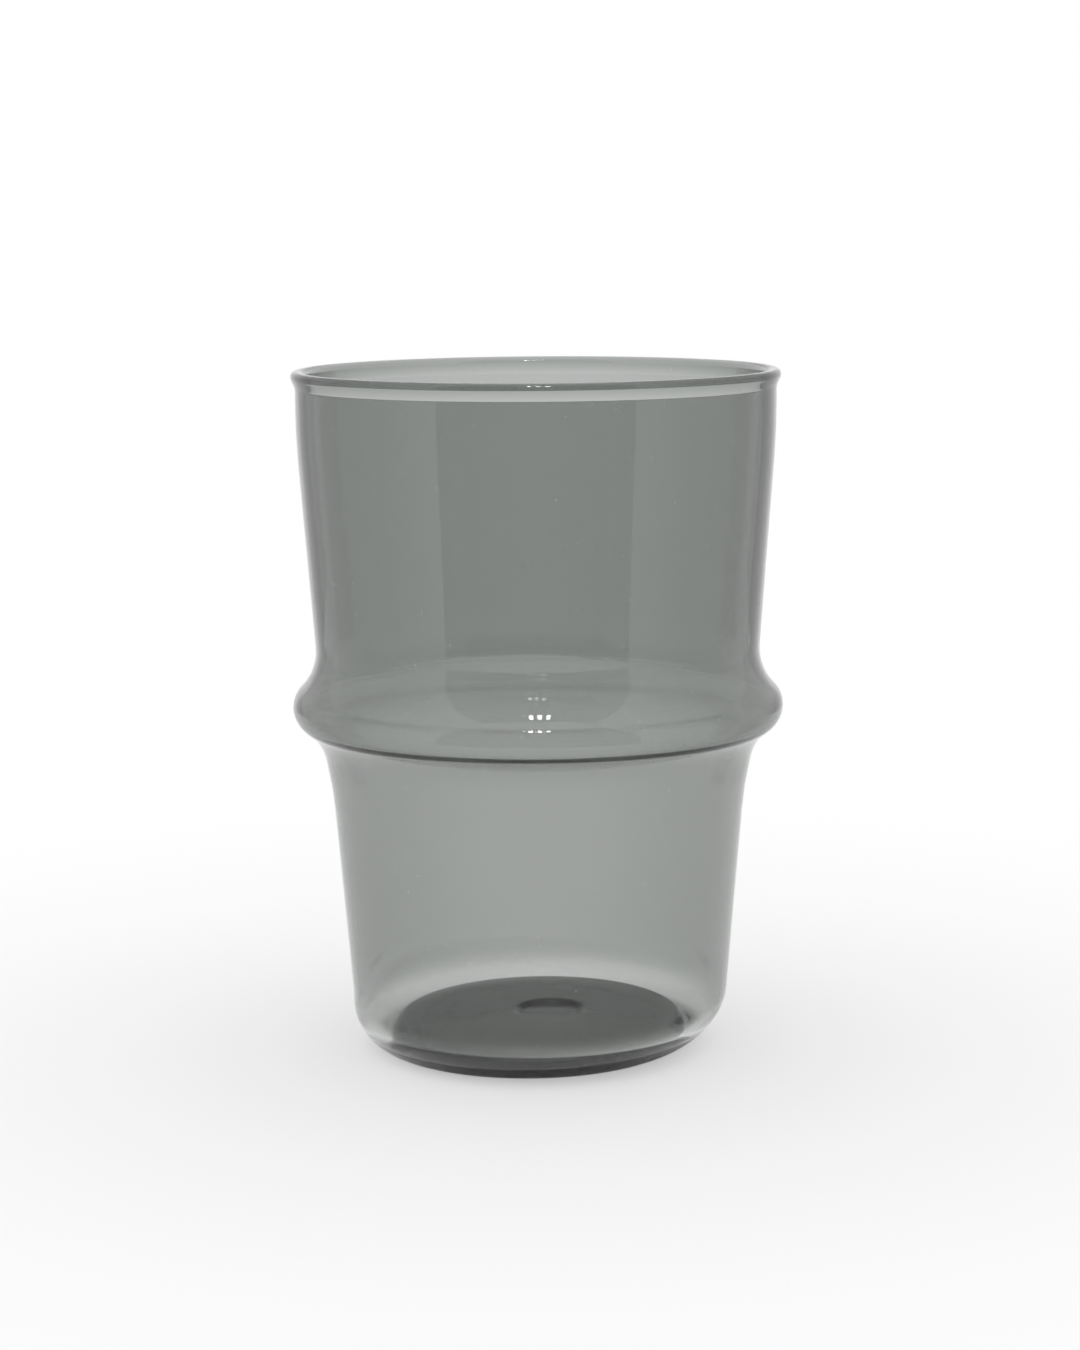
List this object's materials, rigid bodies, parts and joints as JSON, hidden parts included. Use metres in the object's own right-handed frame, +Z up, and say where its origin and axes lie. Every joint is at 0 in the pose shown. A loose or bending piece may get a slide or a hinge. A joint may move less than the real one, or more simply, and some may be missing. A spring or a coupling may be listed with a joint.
{
  "type": "tumbler",
  "caption": "Blown smoke-grey glass tumbler with a flared upper body, a hollow ring at mid height, a tapered lower body, a rounded foot and a fire-polished lip, for drinking.",
  "frame": {"origin": "middle of the foot, on the surface that the tumbler stands on", "axes": "+Z up along the tumbler's axis, towards the lip; the body is turned about it, so X and Y are free"},
  "size_m": [0.0812, 0.0812, 0.1128],
  "materials": {
    "smoke_glass": "clear smoke-grey glass, fire-polished and glossy, with faint blown waves"
  },
  "bodies": {
    "root": {"glass_body": "smoke_glass"}
  },
  "joints": []
}
